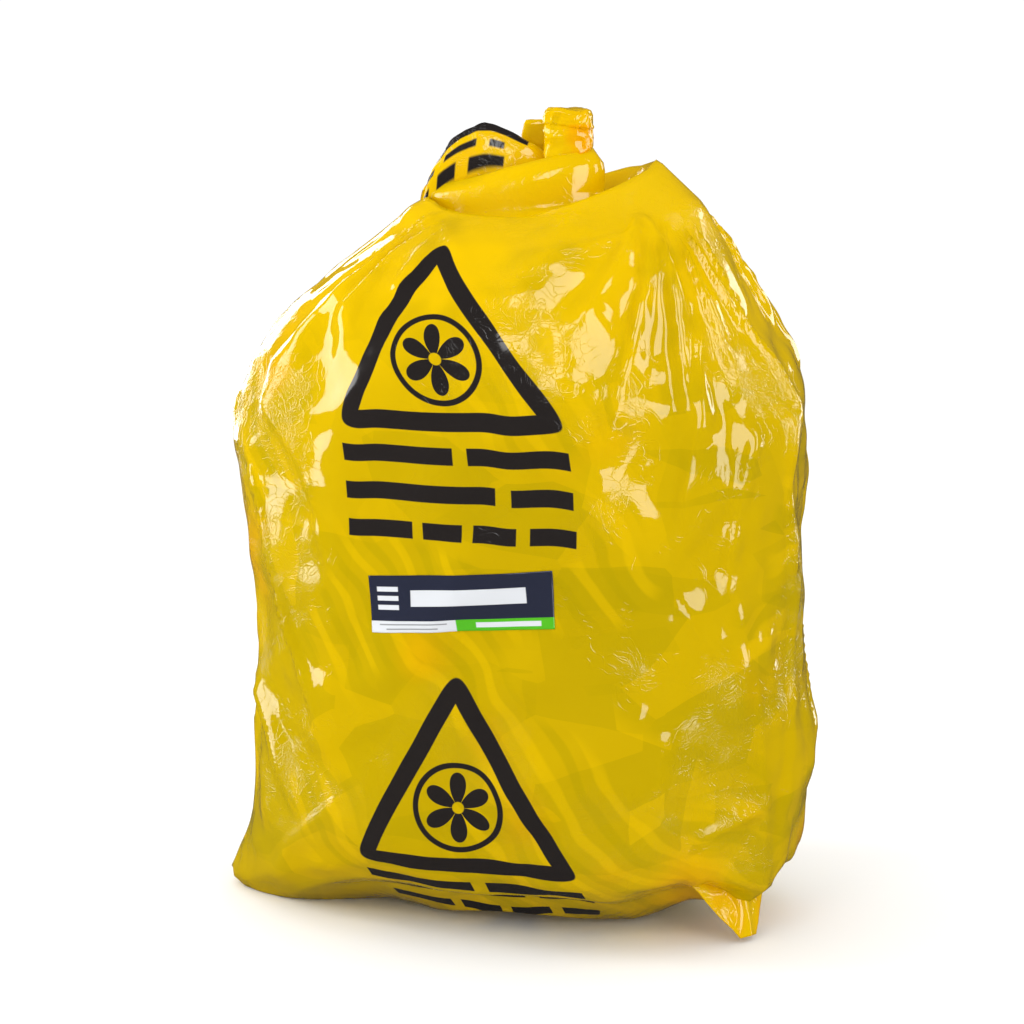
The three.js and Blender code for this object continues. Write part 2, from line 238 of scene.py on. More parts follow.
def read_core(node):
    """Distances from the centre to the surface of a node, over a grid of turns and tilts."""
    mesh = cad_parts[node].data
    places = np.empty(len(mesh.vertices) * 3)
    mesh.vertices.foreach_get("co", places)
    tree = BVHTree.FromPolygons(places.reshape(-1, 3).tolist(), [tuple(p.vertices) for p in mesh.polygons])
    turn, tilt = np.meshgrid(
        np.arange(TURNS) * math.tau / TURNS, np.linspace(LOW_TILT, HIGH_TILT, TILTS), indexing="ij"
    )
    rays = directions_of(turn, tilt)
    start = Vector(CORE_CENTRE)
    hits = [tree.ray_cast(start, Vector(ray))[3] for ray in rays.reshape(-1, 3)]
    return rays, np.array(hits).reshape(TURNS, TILTS)


def trimmed(distances):
    """The core with its shoulders drawn in a little towards the middle, the left one most beside the neck.
    The right foot is drawn in too, and the left foot let out."""
    points = CORE_CENTRE + rays * distances[..., None]
    across, height = points[..., 0] - NECK_ACROSS, points[..., 2]
    right = RIGHT_TRIM * smooth(height, *RIGHT_HEIGHTS) * smooth(across, *RIGHT_ASIDE)
    right += TOP_TRIM * smooth(height, *TOP_HEIGHTS) * smooth(across, *TOP_ASIDE)
    left = LEFT_BASE + (1.0 - LEFT_BASE) * smooth(height, *LEFT_TOP_HEIGHTS)
    left = left * smooth(height, *LEFT_HEIGHTS) * smooth(-across, *LEFT_ASIDE)
    foot_right = (1.0 - smooth(height, *FOOT_TRIM_HEIGHTS)) * smooth(across, *FOOT_TRIM_ASIDE)
    foot_left = (1.0 - smooth(height, *FOOT_SPREAD_HEIGHTS)) * smooth(-across, *FOOT_SPREAD_ASIDE)
    feet = FOOT_SPREAD * foot_left - FOOT_TRIM * foot_right
    return distances * (1.0 - right - LEFT_TRIM * left + feet)


rays, cad_core = read_core("waste_fill")
plain_core = trimmed(cad_core)
core_points = CORE_CENTRE + rays * plain_core[..., None]


def faceted(points, distances):
    """The core cut flat by seeded planes, each a little inside a point of the core and square to it. A
    plane acts only near its own point, and fades out round it."""
    random = np.random.default_rng(11)
    normals = outward_of(points)
    picked = random.integers(0, TURNS * TILTS, FACETS)
    places, faces = points.reshape(-1, 3)[picked], normals.reshape(-1, 3)[picked]
    kept = (places[:, 2] > FACET_LOW) & (places[:, 2] < FACET_HIGH)
    cut = distances.copy()
    for place, face in zip(places[kept], faces[kept]):
        depth = random.uniform(*FACET_DEPTHS)
        near = 1.0 - smooth(np.linalg.norm(points - place, axis=-1), FACET_NEAR, FACET_FAR)
        reach = (place - CORE_CENTRE) @ face - depth
        cut -= near * np.clip(cut - reach / np.maximum(rays @ face, FACET_SLANT), 0.0, FACET_DEEPEST)
    return cut


def outward_of(points):
    """Outward unit normals of a closed grid of points, from its neighbours across and along."""
    across = np.roll(points, -1, 0) - np.roll(points, 1, 0)
    along = np.gradient(points, axis=1)
    normals = np.cross(across, along)
    return normals / np.maximum(np.linalg.norm(normals, axis=-1), 1e-9)[..., None]


def dented(points, distances):
    """The cut core with hollows between its packed contents, up to a few millimetres deep."""
    height = points[..., 2]
    fade = smooth(height, 0.0, 0.06) * (1.0 - smooth(height, 0.52, 0.60))
    hollow = DENT_DEPTH * np.clip(0.5 + 0.5 * ripple(points, DENT_SIZE, 5), 0.0, 1.0)
    return distances - fade * (hollow + LUMP_DEPTH * ripple(points, LUMP_SIZE, 6))


core = dented(core_points, faceted(core_points, plain_core))
core_normals = outward_of(CORE_CENTRE + rays * core[..., None])


def core_cells(points):
    """Where points lie in the core's tables: cells across and along, and their distance from the centre."""
    offset = points - CORE_CENTRE
    distance = np.linalg.norm(offset, axis=-1)
    turn = np.arctan2(offset[..., 1], offset[..., 0])
    tilt = np.arcsin(np.clip(offset[..., 2] / distance, -1.0, 1.0))
    across = (turn / math.tau * TURNS) % TURNS
    along = (tilt - LOW_TILT) / (HIGH_TILT - LOW_TILT) * (TILTS - 1)
    return across, along, distance, offset / distance[..., None]


# The film's plain course: from under the base, up the side and over the ridge into the neck

UNDER_TILT = math.radians(-73.0)
PATH_STEPS = 240
GATHER_FROM, GATHER_POWER = 0.60, 1.6  # where up the side the film starts to draw in to the ridge
RIDGE_MIDDLE = (0.030, -0.0014)
RIDGE_HALF = (0.112, 0.066)
NECK_RINGS = (  # middle across, half width, half depth, height, rise from left to right, drop of the front
    (0.014, 0.098, 0.057, 0.614, 0.046, 0.024),
    (0.002, 0.086, 0.045, 0.602, 0.014, 0.016),
    (-0.010, 0.077, 0.035, 0.603, 0.010, 0.010),
    (-0.010, 0.078, 0.035, 0.618, 0.026, 0.002),
    (-0.010, 0.067, 0.024, 0.630, 0.032, 0.000),
    (-0.008, 0.030, 0.008, 0.622, 0.030, 0.000),
)


def resampled(path, steps):
    """Points at even distances along paths, one path to a row."""
    lengths = np.linalg.norm(np.diff(path, axis=1), axis=-1)
    reached = np.concatenate((np.zeros((len(path), 1)), np.cumsum(lengths, axis=1)), axis=1)
    shares = np.linspace(0.0, 1.0, steps)
    out = np.empty((len(path), steps, 3))
    for i, (points, marks) in enumerate(zip(path, reached)):
        for axis in range(3):
            out[i, :, axis] = np.interp(shares * marks[-1], marks, points[:, axis])
    return out, reached[:, -1]


def body_paths():
    """For each turn, the way from under the base up to the ridge's crest, a gap outside the plain core. The
    crest is the last point outside an oval round the ridge's middle."""
    outside = core_points + outward_of(core_points) * FILM_GAP
    tilts = np.linspace(LOW_TILT, HIGH_TILT, TILTS)
    first = int(np.searchsorted(tilts, UNDER_TILT))
    paths = []
    for column in outside:
        reach = np.hypot(*((column[:, :2] - RIDGE_MIDDLE) / RIDGE_HALF).T)
        crest = first + int(np.flatnonzero(reach[first:] >= 1.0)[-1])
        marks = np.linspace(first, crest, PATH_STEPS)
        paths.append(np.stack([np.interp(marks, np.arange(TILTS), column[:, k]) for k in range(3)], -1))
    paths = np.array(paths)
    for _ in range(3):
        paths = 0.5 * paths + 0.25 * (np.roll(paths, 1, 0) + np.roll(paths, -1, 0))
    return resampled(paths, PATH_STEPS)


body_table, body_lengths = body_paths()


def neck_paths():
    """For each turn, the way from the crest down into the hollow, up the neck band and over its top."""
    crest = body_table[:, -1]
    middle = 0.5 * (crest.max(0) + crest.min(0))
    half = 0.5 * (crest.max(0) - crest.min(0))
    angle = np.arctan2((crest[:, 1] - middle[1]) / half[1], (crest[:, 0] - middle[0]) / half[0])
    rings = [crest]
    for x, half_width, half_depth, height, rise, drop in NECK_RINGS:
        across, front = np.cos(angle), np.clip(-np.sin(angle), 0.0, 1.0)
        level = height + 0.5 * rise * across - drop * front
        ring = (x + half_width * across, half_depth * np.sin(angle), level)
        rings.append(np.stack(ring, -1))
    return resampled(np.stack(rings, 1), PATH_STEPS)


neck_table, neck_lengths = neck_paths()


def ring_course(ring, zero):
    """Distance round a closed ring of points, rising with the turn, from the point nearest to zero."""
    steps = np.linalg.norm(np.roll(ring, -1, 0) - ring, axis=-1)
    reached = np.concatenate(((0.0,), np.cumsum(steps)))
    turns = np.arange(TURNS + 1) / TURNS
    start = np.argmin(np.linalg.norm(ring[:, :2] - np.array(zero), axis=1))
    reached = reached - reached[start]
    return turns, reached, steps.sum()


def turns_of(ring, zero, film, along):
    """The turn, in whole turns, of each film width in film, when along gives its distance round the ring
    from zero. It rises steadily, and may be under 0 or over 1."""
    turns, reached, whole = ring_course(ring, zero)
    turns = np.concatenate((turns[:-1] - 1.0, turns[:-1], turns + 1.0))
    reached = np.concatenate((reached[:-1] - whole, reached[:-1], reached + whole))
    return np.interp(along, reached, turns), whole


def film_turns(width):
    """Turns of the film's columns halfway up and at the ridge. Halfway up, the front is at its true width
    and the spare film is shared out over the rest. At the ridge, the front between its two gathers and a
    little of the back are at their true width, and the rest is pleated."""
    middle_ring = core_points[:, TILTS // 2]
    front = middle_ring[:, 1].min()
    around = np.linalg.norm(np.roll(middle_ring, -1, 0) - middle_ring, axis=-1).sum()
    half, spare = 0.5 * FILM_GIRTH, 0.5 * around
    level_marks = (-spare, -FRONT_TRUE, FRONT_TRUE, spare)
    along = np.interp(width, (-half, -FRONT_TRUE, FRONT_TRUE, half), level_marks)
    level, _ = turns_of(middle_ring, (PRINT_X, front), width, along)
    ridge = body_table[:, -1]
    _, _, round_ridge = ring_course(ridge, RIDGE_LEFT)
    left, right = -RIDGE_PRINT, RIDGE_SPAN - RIDGE_PRINT
    behind = 0.5 * (round_ridge - RIDGE_SPAN)
    far = RIDGE_SPAN + behind
    film_marks = (-half, -half + BACK_TRUE, left, right, half - BACK_TRUE, half)
    ring_marks = (-behind, -behind + BACK_TRUE, 0.0, RIDGE_SPAN, far - BACK_TRUE, far)
    top, _ = turns_of(ridge, RIDGE_LEFT, width, np.interp(width, film_marks, ring_marks))
    return level, top


def film_course(level):
    """The film's plain shape at one level of detail, as rows of columns, and which rows are the body's."""
    scale = 2 ** level
    columns, body_rows, neck_rows = COARSE_COLUMNS * scale, COARSE_BODY * scale, COARSE_NECK * scale
    width = (np.arange(columns) / columns - 0.5) * FILM_GIRTH
    level_turns, ridge_turns = film_turns(width)
    share = np.linspace(0.0, 1.0, body_rows + 1)[:, None]
    gather = np.clip((share - GATHER_FROM) / (1.0 - GATHER_FROM), 0.0, 1.0) ** GATHER_POWER
    turn = (level_turns * (1.0 - gather) + ridge_turns * gather) * TURNS
    body = table_at(body_table, turn, np.broadcast_to(share * (PATH_STEPS - 1), turn.shape))
    share = np.linspace(0.0, 1.0, neck_rows + 1)[1:, None]
    turn = np.broadcast_to(ridge_turns[None, :] * TURNS, (neck_rows, columns))
    neck = table_at(neck_table, turn, np.broadcast_to(share * (PATH_STEPS - 1), turn.shape))
    return np.concatenate((body, neck)), body_rows


# Settling the film: its links keep their lengths while it is pressed onto the waste

def twice_as_fine(grid):
    """A grid with a new row and column between all its own, on smooth curves through four neighbours.
    The columns close on themselves."""
    between = (9.0 * (grid + np.roll(grid, -1, 1)) - np.roll(grid, 1, 1) - np.roll(grid, -2, 1)) / 16.0
    wide = np.empty((grid.shape[0], grid.shape[1] * 2, 3))
    wide[:, 0::2], wide[:, 1::2] = grid, between
    padded = np.concatenate((wide[:1], wide, wide[-1:]))
    between = (9.0 * (padded[1:-2] + padded[2:-1]) - padded[:-3] - padded[3:]) / 16.0
    fine = np.empty((wide.shape[0] * 2 - 1, wide.shape[1], 3))
    fine[0::2], fine[1::2] = wide, between
    return fine


def link_sets(rows, columns, rest_from):
    """All links of the grid in sets that share no point: along columns and rows, both diagonals, and the
    longer links that stiffen bends. Each set is (starts, ends, lengths at rest, stiffness)."""
    index = np.arange(rows * columns).reshape(rows, columns)
    flat = rest_from.reshape(-1, 3)
    sets = []

    def add(start, end, colour, stiffness):
        for wanted in (0, 1):
            chosen = np.broadcast_to(colour % 2 == wanted, start.shape)
            a, b = start[chosen], end[chosen]
            sets.append([a, b, np.linalg.norm(flat[a] - flat[b], axis=-1), stiffness])

    row, column = np.arange(rows)[:, None], np.arange(columns)[None, :]
    beside = np.roll(index, -1, 1)
    add(index, beside, column, 1.0)
    add(index[:-1], index[1:], row[:-1], 1.0)
    add(index[:-1], beside[1:], row[:-1], 0.25)
    add(beside[:-1], index[1:], row[:-1], 0.25)
    add(index, np.roll(index, -2, 1), column // 2, 0.06)
    add(index[:-2], index[2:], (row // 2)[:-2], 0.06)
    return sets


def lengthen(sets, rows, columns, stretch_across, stretch_along):
    """Multiplies the links' rest lengths by how much spare film lies across and along at each place."""
    across, along = stretch_across.ravel(), stretch_along.ravel()
    straight = (across, across, along, along)
    factors = straight + (0.5 * (across + along),) * 4 + straight
    for links, factor in zip(sets, factors):
        links[2] = links[2] * factor[links[0]]


def spare_across(share):
    """How much spare film lies across, as a share of its length: most at the shoulders and least in the
    middle of the sack's side."""
    shoulders = SPARE + SPARE_SHOULDERS * smooth(share, 0.70, 1.0) - SPARE_NECK * (share > 1.0)
    return shoulders + SPARE_BASE * (1.0 - smooth(share, 0.10, 0.28))


def settle(grid, course, body_rows, steps, press, bend):
    """Moves the film towards rest. Each step presses the body's film inwards, lifts what is inside the
    waste or the floor back out, draws the neck towards its course and pulls every link to its length."""
    rows, columns = grid.shape[:2]
    cell = FILM_GIRTH / columns
    spacing = np.linalg.norm(np.roll(course, -1, 1) - course, axis=-1)
    share = (np.arange(rows) / body_rows)[:, None]
    stretch_across = np.clip(cell / spacing, 1.0, 1.0 + spare_across(share))
    stretch_along = np.full(spacing.shape, SPARE_ALONG)
    sets = link_sets(rows, columns, course)
    lengthen(sets, rows, columns, stretch_across, stretch_along)
    for links in sets[8:]:
        links[3] = bend
    hold = HOLD_CREST * smooth(share, 0.94, 1.0) + HOLD_HOLLOW * smooth(share, 1.0, 1.10)
    hold = np.broadcast_to(hold + HOLD_BAND * (share > 1.10), spacing.shape).copy()
    hold[0] = 1.0
    hold[-1] = 1.0
    free = (1.0 - (hold > 0.9)).ravel()[:, None]
    inside = np.broadcast_to(share < BODY_END, spacing.shape).ravel()
    fade = np.broadcast_to(1.0 - smooth(share, 0.94, BODY_END), spacing.shape)
    flat = grid.reshape(-1, 3).copy()
    target = course.reshape(-1, 3)
    inward = press * fade.ravel()[inside]
    for step in range(steps):
        if step % LOOK_AGAIN == 0:
            cells = core_cells(flat[inside])
            feet = CORE_CENTRE + cells[3] * table_at(core[..., None], cells[0], cells[1])
            normals = table_at(core_normals, cells[0], cells[1])
            normals /= np.linalg.norm(normals, axis=-1)[:, None]
        held = flat[inside]
        lift = ((held - feet) * normals).sum(-1) - FILM_GAP
        held = held - normals * np.where(lift < 0.0, lift, inward)[:, None]
        held[:, 2] = np.maximum(held[:, 2], FLOOR_GAP)
        flat[inside] = held
        flat += hold.ravel()[:, None] * (target - flat)
        for start, end, rest, stiffness in sets:
            gap = flat[end] - flat[start]
            length = np.sqrt((gap * gap).sum(-1))
            wa, wb = free[start], free[end]
            over = length - rest
            over *= np.where(over > 0.0, stiffness, stiffness * SQUEEZE)
            gap *= (over / np.maximum(length, 1e-9))[:, None] / np.maximum(wa + wb, 1.0)
            flat[start] += wa * gap
            flat[end] -= wb * gap
    return flat.reshape(rows, columns, 3)


def settled_film(levels):
    """The film settled at each level of detail in turn, and the number of its body's rows."""
    course, body_rows = film_course(0)
    normals = outward_of(course.transpose(1, 0, 2)).transpose(1, 0, 2)
    folds = ripple(course, 0.11, 21, stretch=(1.0, 1.0, 3.0))
    folds = folds + 0.6 * ripple(course, 0.06, 22, stretch=(1.0, 1.0, 2.0))
    grid = course + normals * (0.004 + 0.003 * folds)[..., None]
    grid = settle(grid, course, body_rows, *SETTLING[0])
    for level in range(1, levels):
        course, body_rows = film_course(level)
        grid = settle(twice_as_fine(grid), course, body_rows, *SETTLING[level])
    return grid, body_rows


def calmed(grid, body_rows):
    """The film with the narrow ribs of its gathered neck smoothed out, and the body left as it is."""
    share = (np.arange(len(grid)) / body_rows)[:, None, None]
    weight = smooth(share, 0.93, 1.03)
    for _ in range(NECK_CALMING):
        softer = 0.5 * grid + 0.25 * (np.roll(grid, 1, 1) + np.roll(grid, -1, 1))
        grid = grid + weight * (softer - grid)
    return grid


def film_widths(columns):
    """The film's width coordinate at each column, from the middle of its front."""
    return (np.arange(columns) / columns - 0.5) * FILM_GIRTH


def back_folds():
    """Seeded folds for the back and the far sides: most hang from the gathers, some rise from the base."""
    random = np.random.default_rng(33)
    folds = []
    for number in range(BACK_FOLDS):
        start = random.uniform(0.40, 1.02)
        start = start - FILM_GIRTH if start > 0.5 * FILM_GIRTH else start
        hanging = number % 3 < 2
        high, low = (0.585, random.uniform(0.28, 0.50)) if hanging else (random.uniform(0.05, 0.35), 0.0)
        low = low if hanging else high - random.uniform(0.08, 0.2)
        slant = random.uniform(-0.06, 0.06)
        wide = random.uniform(0.012, 0.030)
        crest = random.uniform(0.003, 0.0055)
        folds.append((start, high, start + slant, max(low, 0.03), 0.004, wide, crest))
    return folds


def folded(grid, body_rows):
    """The film with its folds: each is a tent along a straight line over the film, from a narrow start to a
    wide end, that fades out at both and is steeper on one side."""
    rows, columns = grid.shape[:2]
    width = film_widths(columns)[None, :]
    height = grid[..., 2]
    share = (np.arange(rows) / body_rows)[:, None]
    inner = (1.0 - smooth(share, 0.97, 1.01)) * smooth(share, 0.10, 0.16)
    lift = np.zeros((rows, columns))
    for across, high, end_across, low, narrow, wide, crest in FRONT_FOLDS + tuple(back_folds()):
        run, fall = end_across - across, low - high
        length = math.hypot(run, fall)
        along = ((width - across) * run + (height - high) * fall) / length ** 2
        aside = ((width - across) * fall - (height - high) * run) / length
        aside = np.where(aside < 0.0, -aside, aside * FOLD_STEEPER)
        half = narrow + (wide - narrow) * np.clip(along, 0.0, 1.0)
        ends = smooth(along, -0.10, 0.04) * (1.0 - smooth(along, 0.70, 1.0))
        lift += crest * np.clip(1.0 - aside / half, 0.0, 1.0) * ends
    normals = outward_of(grid.transpose(1, 0, 2)).transpose(1, 0, 2)
    return grid + normals * (lift * inner)[..., None]


def film_uv(grid, body_rows):
    """The film's own map: across from the middle of the front and along from the floor end, as shares. Near
    the front both are true lengths over the smoothed film, so that the print is neither squeezed nor drawn
    out, and round the back across is the film's own width."""
    rows, columns = grid.shape[:2]
    plain = grid
    for _ in range(UV_CALMING):
        plain = 0.5 * plain + 0.25 * (np.roll(plain, 1, 1) + np.roll(plain, -1, 1))
        plain[1:-1] = 0.5 * plain[1:-1] + 0.25 * (plain[2:] + plain[:-2])
    middle = columns // 2
    steps = np.linalg.norm(np.diff(plain, axis=1), axis=-1)
    across = np.concatenate((np.zeros((rows, 1)), np.cumsum(steps, axis=1)), axis=1)
    across -= across[:, middle:middle + 1]
    width = film_widths(columns)[None, :]
    true = 1.0 - smooth(np.abs(width), 0.14, 0.34)
    across = width + true * (across - width)
    across = np.concatenate((across, np.full((rows, 1), 0.5 * FILM_GIRTH)), axis=1)
    climb = np.linalg.norm(np.diff(plain, axis=0), axis=-1)
    along = np.concatenate((np.zeros((1, columns)), np.cumsum(climb, axis=0)))
    level = int(np.argmin(np.abs(grid[:body_rows, middle, 2] - ANCHOR_HEIGHT)))
    along += FRONT_ANCHOR - along[level:level + 1]
    along = np.concatenate((along, along[:, :1]), axis=1)
    return np.stack((across / FILM_GIRTH + 0.5, along / ALONG_SCALE + 0.1), -1)


def closed_mesh(name, grid, uv):
    """A mesh object from rows of columns that close on themselves, with both ends closed by a fan. The map
    has one more column than the grid, for the seam."""
    rows, columns = grid.shape[:2]
    index = np.arange(rows * columns).reshape(rows, columns)
    after = np.roll(index, -1, 1)
    quads = np.stack((index[:-1], after[:-1], after[1:], index[1:]), -1).reshape(-1, 4)
    first, last = rows * columns, rows * columns + 1
    floor_fan = np.stack((after[0], index[0], np.full(columns, first)), -1)
    top_fan = np.stack((index[-1], after[-1], np.full(columns, last)), -1)
    places = np.concatenate((grid.reshape(-1, 3), grid[:1].mean(1), grid[-1:].mean(1)))
    mesh = bpy.data.meshes.new(name)
    mesh.from_pydata(places.tolist(), [], quads.tolist() + floor_fan.tolist() + top_fan.tolist())
    left, right = uv[:, :-1], uv[:, 1:]
    sides = np.stack((left[:-1], right[:-1], right[1:], left[1:]), 2).reshape(-1, 2)
    under = np.stack((right[0], left[0], 0.5 * (left[0] + right[0])), 1).reshape(-1, 2)
    over = np.stack((left[-1], right[-1], 0.5 * (left[-1] + right[-1])), 1).reshape(-1, 2)
    layer = mesh.uv_layers.new(name="film_map")
    layer.data.foreach_set("uv", np.concatenate((sides, under, over)).ravel())
    mesh.shade_smooth()
    made = bpy.data.objects.new(name, mesh)
    bpy.context.scene.collection.objects.link(made)
    return made


def even_uv(grid):
    """A map that runs from 0 to 1 round each ring and from the first ring to the last."""
    rows, columns = grid.shape[:2]
    across, along = np.meshgrid(np.linspace(0.0, 1.0, columns + 1), np.linspace(0.0, 1.0, rows))
    return np.stack((across, along), -1)


film_grid, film_body_rows = settled_film(LEVELS)
film_grid = calmed(film_grid, film_body_rows)
film_grid = folded(film_grid, film_body_rows)
film = closed_mesh("sack_film", film_grid, film_uv(film_grid, film_body_rows))
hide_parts("bag_film", "waste_fill")
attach(film, "root")


# The film's loose ends above the knot

def crumpled(grid, seed, size, depth):
    """A form with facets pressed into it: a ripple of about the given size, folded over at zero so that it
    has sharp creases."""
    normals = outward_of(grid.transpose(1, 0, 2)).transpose(1, 0, 2)
    dent = np.abs(ripple(grid, size, seed)) - 0.5
    return grid - normals * (depth * np.clip(dent, -0.6, 1.0))[..., None]


def flap_grid():
    """The wide end of the film, folded over to the left: an upright flat oval at each step across, as tall
    as the flap's outline there, and thinner towards both ends."""
    share = np.linspace(0.0, 1.0, 90)[:, None]
    angle = np.linspace(0.0, math.tau, 72, endpoint=False)[None, :]
    across = FLAP_LEFT + (FLAP_RIGHT - FLAP_LEFT) * (0.5 - 0.5 * np.cos(math.pi * share))
    marks = [point[0] for point in FLAP_OUTLINE]
    crest = np.interp(across, marks, [point[1] for point in FLAP_OUTLINE])
    for _ in range(4):
        crest[1:-1] = 0.5 * crest[1:-1] + 0.25 * (crest[2:] + crest[:-2])
    middle = 0.5 * (crest + FLAP_ROOT)
    half = 0.5 * (crest - FLAP_ROOT)
    thick = FLAP_THICKNESS * 0.5 * np.sin(math.pi * np.clip(share, 0.02, 0.98)) ** 0.35
    up, out = np.sin(angle), np.cos(angle)
    rounded_up = np.sign(up) * np.abs(up) ** 0.7
    rounded_out = np.sign(out) * np.abs(out) ** 0.8
    lean = FLAP_LEAN * smooth(up, -0.2, 1.0)
    x = across + FLAP_SWAY * up * (1.0 - share)
    y = FLAP_BACK + thick * rounded_out + lean + FLAP_SKEW * (share - 0.5)
    z = middle + half * rounded_up
    return crumpled(np.stack((x, y, z), -1), 41, 0.035, 0.0012)


def upright_grid(middle, levels, round_power, turn, columns=96):
    """A wad of rolled film: at each level a rounded rectangle, with its own shift, half width and half
    depth, turned about the upright."""
    place = np.linspace(0.0, len(levels) - 1.0, UPRIGHT_ROWS)
    number = np.arange(len(levels))
    height, shift, half_width, half_depth = [np.interp(place, number, row)[:, None] for row in zip(*levels)]
    angle = np.linspace(0.0, math.tau, columns, endpoint=False)[None, :]
    across, out = np.cos(angle), np.sin(angle)
    across = np.sign(across) * np.abs(across) ** round_power * half_width
    out = np.sign(out) * np.abs(out) ** round_power * half_depth
    x = middle[0] + shift + across * math.cos(turn) - out * math.sin(turn)
    y = middle[1] + across * math.sin(turn) + out * math.cos(turn)
    return np.stack((x, y, np.broadcast_to(height, x.shape)), -1)


def stub_grid():
    """The wad of rolled film that ends the knot: a blunt square post with a folded cap that overhangs
    it."""
    grid = upright_grid(STUB_MIDDLE, STUB_LEVELS, 0.45, math.radians(14.0))
    slope = (grid[..., 0] - STUB_MIDDLE[0]) * -0.10
    grid[..., 2] += slope * smooth(grid[..., 2], 0.64, 0.67)
    return crumpled(crumpled(grid, 43, 0.030, 0.0016), 44, 0.012, 0.0009)


def tail_grid():
    """The narrow rear tail: a flat upright tongue with a rounded end."""
    return crumpled(upright_grid(TAIL_MIDDLE, TAIL_LEVELS, 0.6, math.radians(10.0), 64), 47, 0.02, 0.0008)


def loose_end(name, grid):
    """One of the film's ends above the knot, as an object of its own."""
    made = closed_mesh(name, grid, even_uv(grid))
    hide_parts("bag_film")
    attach(made, "root")
    return made


flap = loose_end("flap", flap_grid())
stub = loose_end("stub", stub_grid())
tail = loose_end("tail", tail_grid())


# The base seam's corners and the label

def sheet_mesh(name, front, thickness):
    """A closed thin sheet: its front, its back a thickness behind, and the rim between them. Its map runs
    from 0 to 1 both ways on the front and on the back."""
    rows, columns = front.shape[:2]
    across = np.gradient(front, axis=1)
    up = np.gradient(front, axis=0)
    normals = np.cross(across, up)
    normals /= np.linalg.norm(normals, axis=-1)[..., None]
    back = front - normals * thickness
    index = np.arange(rows * columns).reshape(rows, columns)
    front_quads = np.stack((index[:-1, :-1], index[:-1, 1:], index[1:, 1:], index[1:, :-1]), -1)
    front_quads = front_quads.reshape(-1, 4)
    back_quads = front_quads[:, ::-1] + rows * columns
    rim = np.concatenate((index[0, :], index[1:, -1], index[-1, -2::-1], index[-2:0:-1, 0]))
    after = np.roll(rim, -1)
    rim_quads = np.stack((after, rim, rim + rows * columns, after + rows * columns), -1)
    quads = np.concatenate((front_quads, back_quads, rim_quads))
    mesh = bpy.data.meshes.new(name)
    places = np.concatenate((front.reshape(-1, 3), back.reshape(-1, 3)))
    mesh.from_pydata(places.tolist(), [], quads.tolist())
    u, v = np.meshgrid(np.linspace(0.0, 1.0, columns), np.linspace(0.0, 1.0, rows))
    flat = np.stack((u, v), -1).reshape(-1, 2)
    layer = mesh.uv_layers.new(name="film_map")
    layer.data.foreach_set("uv", np.concatenate((flat, flat))[quads.ravel()].ravel())
    mesh.shade_smooth()
    made = bpy.data.objects.new(name, mesh)
    bpy.context.scene.collection.objects.link(made)
    return made


def label_front():
    """The label's front: a turned rectangle laid against the film from the front, and smoothed so that it
    bridges the film's small dents."""
    low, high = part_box("label")
    middle_x, middle_z = 0.5 * (low[0] + high[0]), 0.5 * (low[2] + high[2])
    u, v = np.meshgrid(np.linspace(-0.5, 0.5, 101), np.linspace(-0.5, 0.5, 33))
    across, up = u * LABEL_WIDTH, v * LABEL_HEIGHT
    x = middle_x + across * math.cos(LABEL_TURN) - up * math.sin(LABEL_TURN)
    z = middle_z + across * math.sin(LABEL_TURN) + up * math.cos(LABEL_TURN)
    tree = BVHTree.FromObject(film, bpy.context.evaluated_depsgraph_get())
    forward = Vector((0.0, 1.0, 0.0))
    hits = [tree.ray_cast(Vector((px, -0.5, pz)), forward)[0].y for px, pz in zip(x.ravel(), z.ravel())]
    film_y = np.array(hits).reshape(x.shape)
    y = film_y.copy()
    for _ in range(30):
        y[1:-1] = 0.5 * y[1:-1] + 0.25 * (y[2:] + y[:-2])
        y[:, 1:-1] = 0.5 * y[:, 1:-1] + 0.25 * (y[:, 2:] + y[:, :-2])
    y = np.minimum(y, film_y) - LABEL_THICKNESS - 0.0003
    return np.stack((x, y, z), -1)


def corner_front(inner, outer, tip, tip_width, bow):
    """A corner of the base seam that sticks out: a sheet from an edge sunk in the film, between the places
    inner and outer, to a narrow tip, bowed forwards and creased."""
    inner, outer, tip = np.array(inner), np.array(outer), np.array(tip)
    u, v = np.meshgrid(np.linspace(0.0, 1.0, 41), np.linspace(0.0, 1.0, 41))
    side = (outer - inner) / np.linalg.norm(outer - inner)
    top = inner + (outer - inner) * u[..., None]
    low = tip + side * ((u - 0.5) * tip_width)[..., None]
    sheet = low + (top - low) * v[..., None]
    facing = np.cross(outer - inner, 0.5 * (inner + outer) - tip)
    facing /= np.linalg.norm(facing)
    crease = np.abs(u - 0.55) * 2.0 + 0.25 * np.abs(ripple(sheet, 0.03, 51))
    return sheet + facing * (bow * (1.0 - crease) * (0.4 + 0.6 * v))[..., None]


def corner_piece(name, corner):
    """One corner of the base seam, as an object of its own."""
    made = sheet_mesh(name, corner_front(*corner), CORNER_THICKNESS)
    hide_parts("bag_film")
    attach(made, "root")
    return made


right_corner = corner_piece("right_corner", RIGHT_CORNER)
left_corner = corner_piece("left_corner", LEFT_CORNER)

label = sheet_mesh("sticker", label_front(), LABEL_THICKNESS)
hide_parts("label")
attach(label, "root")


# Materials

